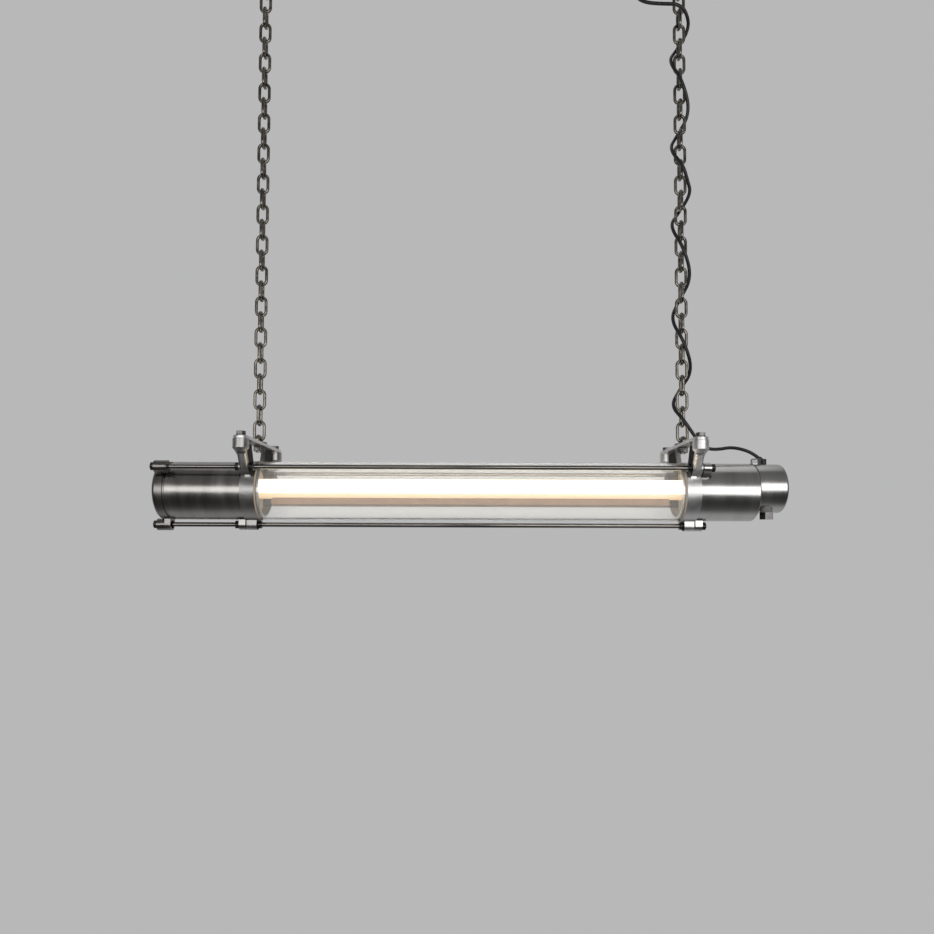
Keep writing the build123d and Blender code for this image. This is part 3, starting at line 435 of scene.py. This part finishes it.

# Metals: dark and light tone, least and most roughness, then, where they are not the usual ones,
# patches per metre, the marks' stretch, the dents' depth, and the faces and tone of painted shade
METALS = {
    "burnished_steel": dict(dark=(0.24, 0.23, 0.215), light=(0.37, 0.358, 0.342), smooth=0.22,
                            dull=0.3, mottle=60.0, grain=LATHE, dent=0.08 * MM),
    "end_cap_steel": dict(dark=(0.14, 0.134, 0.125), light=(0.26, 0.25, 0.238), smooth=0.24,
                          dull=0.34, grain=LATHE),
    # The polished steel's drain-plug boss gets matt grey painted shade
    "polished_steel": dict(dark=(0.44, 0.435, 0.425), light=(0.56, 0.55, 0.54), smooth=0.21,
                           dull=0.28, mottle=50.0, grain=LATHE, dent=0.05 * MM,
                           painted_shade=boss_painted_shade, tone=SHADE_GREY),
    # The collars' arm faces towards the middle get black painted shade
    "collar_steel": dict(dark=(0.55, 0.545, 0.54), light=(0.7, 0.695, 0.69), smooth=0.36,
                         dull=0.45, mottle=60.0, painted_shade=arm_painted_shade),
    "dark_collar_steel": dict(dark=(0.29, 0.283, 0.274), light=(0.4, 0.392, 0.382), smooth=0.33,
                              dull=0.42, mottle=60.0, painted_shade=arm_painted_shade),
    "rod_steel": dict(dark=(0.17, 0.161, 0.15), light=(0.27, 0.257, 0.24), smooth=0.12,
                      dull=0.18, mottle=80.0, grain=DRAWN, dent=0.02 * MM),
    "fastener_steel": dict(dark=(0.075, 0.073, 0.071), light=(0.17, 0.166, 0.162), smooth=0.22,
                           dull=0.34, mottle=160.0),
    "chain_steel": dict(dark=(0.12, 0.11, 0.095), light=(0.32, 0.3, 0.265), smooth=0.2,
                        dull=0.38, mottle=150.0),
    "ceiling_steel": dict(dark=(0.12, 0.111, 0.097), light=(0.28, 0.264, 0.235), smooth=0.58,
                          dull=0.7, mottle=120.0),
    "tube_cap": dict(dark=(0.6, 0.6, 0.6), light=(0.78, 0.78, 0.77), smooth=0.3, dull=0.42),
    "pin_brass": dict(dark=(0.6, 0.45, 0.2), light=(0.8, 0.64, 0.32), smooth=0.25, dull=0.35),
    "grey_plug": dict(dark=(0.2, 0.207, 0.203), light=(0.33, 0.338, 0.33), smooth=0.28,
                      dull=0.4, mottle=120.0),
}

# Plastics, rubbers and paints: light tone, darker tone, mean roughness, and grain where it differs
PLASTICS = {
    "rose_paint": ((0.03, 0.03, 0.03), (0.02, 0.02, 0.02), 0.72, 240.0),
    "black_rubber": ((0.016, 0.016, 0.016), (0.008, 0.008, 0.008), 0.55),
    "cord_black": ((0.012, 0.012, 0.012), (0.006, 0.006, 0.006), 0.42),
    "glass_seal": ((0.6, 0.49, 0.36), (0.52, 0.42, 0.3), 0.55),
    "wireway_paint": ((0.29, 0.195, 0.13), (0.25, 0.165, 0.11), 0.35),
    "board": ((0.8, 0.8, 0.77), (0.7, 0.7, 0.67), 0.5),
    # The end plates' cream tone is partly their own and partly painted warm light of the tube
    "cream_plate": ((0.92, 0.77, 0.56), (0.86, 0.71, 0.51), 0.45),
    "holder_plastic": ((0.82, 0.8, 0.75), (0.74, 0.72, 0.67), 0.45),
    "dark_saddle": ((0.032, 0.024, 0.016), (0.022, 0.016, 0.011), 0.45),
    "terminal_plastic": ((0.78, 0.76, 0.7), (0.68, 0.66, 0.6), 0.5),
    "wire_plastic": ((0.26, 0.12, 0.05), (0.18, 0.08, 0.035), 0.4),
}

# One finish for each of the record's material slots, and a darker copy of the collar steel
FINISHES = {
    **{name: steel(name, **look) for name, look in METALS.items()},
    **{name: plastic(name, *look) for name, look in PLASTICS.items()},
    "clear_glass": clear_glass("clear_glass"),
    "warm_diffuser": lit_diffuser("warm_diffuser"),
}

# A solid whose steel is darker than its slot's
OWN_FINISHES = {"collar_left": "dark_collar_steel"}

# Widths of bevels in mm and the solids whose edges they break, the bevels' steps, how far an edge
# has to turn to be broken, and how close loose corners have to be to be joined
BEVELS = {
    0.9: ("collar_left", "collar_right"),
    0.7: ("left_end_cap",),
    0.6: ("hanger_strap_left", "hanger_strap_right", "left_housing", "drain_plug", "tube_caps"),
    0.5: ("right_housing", "terminal_cover", "rod_nuts", "strap_bolts", "eye_nuts", "hook_nuts",
          "cable_gland", "ceiling_plate_left", "ceiling_plate_right", "tie_rod_front",
          "tie_rod_rear", "tie_rod_bottom"),
    0.4: ("blanking_plug",),
    0.3: ("strap_washers",),
}
BEVEL_SEGMENTS = 2
SHARP_ANGLE = math.radians(35)
WELD_DISTANCE = 0.002 * MM


def dress_solids():
    """Gives every solid its own finish, or else the finish of its slot."""
    for part in frame["record"]["subparts"]:
        mesh = NODES[part["node"]].data
        mesh.materials.clear()
        mesh.materials.append(FINISHES[OWN_FINISHES.get(part["node"], part["material_slot"])])


def bevel_solid(solid, width):
    """Joins a solid's loose triangles, bevels its sharp edges and shades it by its large faces."""
    weld = solid.modifiers.new("weld", "WELD")
    weld.merge_threshold = WELD_DISTANCE
    bevel = solid.modifiers.new("bevel", "BEVEL")
    bevel.width = width
    bevel.segments = BEVEL_SEGMENTS
    bevel.limit_method = "ANGLE"
    bevel.angle_limit = SHARP_ANGLE
    bevel.use_clamp_overlap = True
    shading = solid.modifiers.new("shading", "WEIGHTED_NORMAL")
    shading.mode = "FACE_AREA"


def break_edges():
    """Breaks the edges of every solid in the table of bevels."""
    for width, solids in BEVELS.items():
        for node in solids:
            bevel_solid(NODES[node], width * MM)


def dress_cord():
    """One smooth line for the whole cord, cut into a tube for each stretch between two bodies."""
    route = [point for points in CORD_STRETCHES.values() for point in points]
    line = spline_line(np.array(route) * MM, ROUTE_STEPS)
    start = 0
    for number, (node, points) in enumerate(CORD_STRETCHES.items()):
        seam = np.array(points[-1]) * MM
        stop = int(np.argmin(np.linalg.norm(line - seam, axis=1)))
        path = line[start:stop + 1]
        piece = tube_mesh("supply_" + node, path, CORD_DIAMETER / 2, CORD_SIDES)
        piece.data.materials.append(FINISHES["cord_black"])
        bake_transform(piece)
        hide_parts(node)
        start = stop


def set_camera():
    """The photograph's camera: just below the lamp's axis and turned up, with the rest as shift."""
    camera = bpy.data.cameras.new("camera")
    camera.sensor_width = SENSOR_MM
    camera.lens = FOCAL_PX / PICTURE_PX * SENSOR_MM
    turned = FOCAL_PX * math.tan(CAMERA_PITCH)
    camera.shift_x = (PICTURE_PX / 2 - CENTRE_PX) / PICTURE_PX
    camera.shift_y = (HORIZON_PX - turned - PICTURE_PX / 2) / PICTURE_PX
    holder = bpy.data.objects.new("camera", camera)
    holder.location = (0.0, -CAMERA_DISTANCE, AXIS_Z - CAMERA_BELOW_AXIS)
    holder.rotation_euler = Euler((math.pi / 2 + CAMERA_PITCH, CAMERA_ROLL, 0.0))
    bpy.context.scene.collection.objects.link(holder)
    bpy.context.scene.camera = holder


# The backdrop as the camera and the glass see it, how far its edge leans back as it rises, and the
# span over which the room runs into it
BACKDROP = (0.48, 0.48, 0.485, 1.0)
BACKDROP_IN_GLASS = (0.68, 0.68, 0.675, 1.0)
BACKDROP_LEAN = 0.21
BACKDROP_EDGE = (-0.02, 0.42)

# Brightness of the room in front of the lamp, from straight down (0) to straight up (1)
ROOM_BANDS = (
    (0.0, 0.09), (0.014, 0.107), (0.045, 0.112), (0.1, 0.06), (0.2, 0.045), (0.37, 0.06),
    (0.5, 0.14), (0.63, 0.2), (0.87, 0.2), (0.96, 0.16), (1.0, 0.16),
)

# Softboxes: place from the lamp's middle, width and height, and watts
SOFTBOXES = {
    "left_softbox": ((-1.1, -2.4, 0.1), (2.2, 0.85), 17.0),
    "right_softbox": ((1.1, -2.4, 0.18), (2.2, 1.3), 26.0),
    "top_softbox": ((0.0, 0.6, 2.6), (3.0, 1.6), 10.0),
}

# Floor: its height, radius and sides, its two greys, and how much the camera sees it lifted
FLOOR_Z = -2.3
FLOOR_RADIUS = 1.15
FLOOR_SIDES = 64
FLOOR_GREYS = (0.6, 0.62)
FLOOR_LIFT = 0.46


def set_world():
    """Grey backdrop behind and below the lamp, lighter through its glass, with a dim room in front.

    A direction's part to the back, less the lean times its part upward, says where the room ends:
    below the edge's span it is room, above it backdrop, and between them a mix.
    """
    world = bpy.data.worlds.new("studio")
    bpy.context.scene.world = world
    world.use_nodes = True
    tree = world.node_tree
    sky = Nodes(tree, "Generated")
    parts = sky.axes()
    room = sky.ramp(sky.span(parts["Z"], 0.0, 1.0, -1.0, 1.0), *ROOM_BANDS)
    behind = sky.math("SUBTRACT", parts["Y"], sky.math("MULTIPLY", parts["Z"], BACKDROP_LEAN))
    surround = sky.mix(sky.span(behind, 0.0, 1.0, *BACKDROP_EDGE), room, BACKDROP)
    path = tree.nodes.new("ShaderNodeLightPath").outputs
    through = sky.mix(path["Is Transmission Ray"], surround, BACKDROP_IN_GLASS)
    seen = sky.mix(path["Is Camera Ray"], through, BACKDROP)
    sky.put(tree.nodes["Background"].inputs["Color"], seen)


def softbox(name, place, aim, size, watts):
    """A rectangular studio light that points at a place."""
    lamp = bpy.data.lights.new(name, "AREA")
    lamp.shape = "RECTANGLE"
    lamp.size, lamp.size_y = size
    lamp.energy = watts
    holder = bpy.data.objects.new(name, lamp)
    holder.location = place
    direction = np.subtract(aim, place)
    pitch = math.atan2(-direction[2], math.hypot(direction[0], direction[1]))
    heading = math.atan2(direction[1], direction[0])
    holder.rotation_euler = Euler((math.pi / 2 - pitch, 0.0, heading - math.pi / 2))
    bpy.context.scene.collection.objects.link(holder)


def floor_paint(name):
    """Pale paint that the camera sees about as light as the backdrop, and that takes shadows."""
    finish = Finish(name)
    tones = zip((NOISE_LOW, NOISE_HIGH), FLOOR_GREYS)
    finish.set(Base_Color=finish.ramp(finish.noise(PLASTIC_TONES), *tones), Roughness=0.7)
    seen = finish.tree.nodes.new("ShaderNodeLightPath").outputs["Is Camera Ray"]
    finish.set(Emission_Color=BACKDROP, Emission_Strength=finish.math("MULTIPLY", seen, FLOOR_LIFT))
    return finish.material


def set_studio():
    """A low and a tall softbox in front, a weak one above and a round pale floor far below."""
    middle = (0.0, 0.0, AXIS_Z)
    for name, (offset, size, watts) in SOFTBOXES.items():
        softbox(name, np.add(middle, offset), middle, size, watts)
    angle = np.linspace(0, 2 * math.pi, FLOOR_SIDES, endpoint=False)
    rim = np.column_stack([np.cos(angle) * FLOOR_RADIUS, np.sin(angle) * FLOOR_RADIUS,
                           np.full(FLOOR_SIDES, FLOOR_Z)])
    floor = mesh_piece("floor", rim, [list(range(FLOOR_SIDES))], smooth=False)
    floor.data.materials.append(floor_paint("floor_paint"))
    floor.visible_glossy = False


dress_solids()
break_edges()
dress_cord()
set_camera()
set_world()
set_studio()
bpy.context.scene.view_settings.view_transform = "Standard"
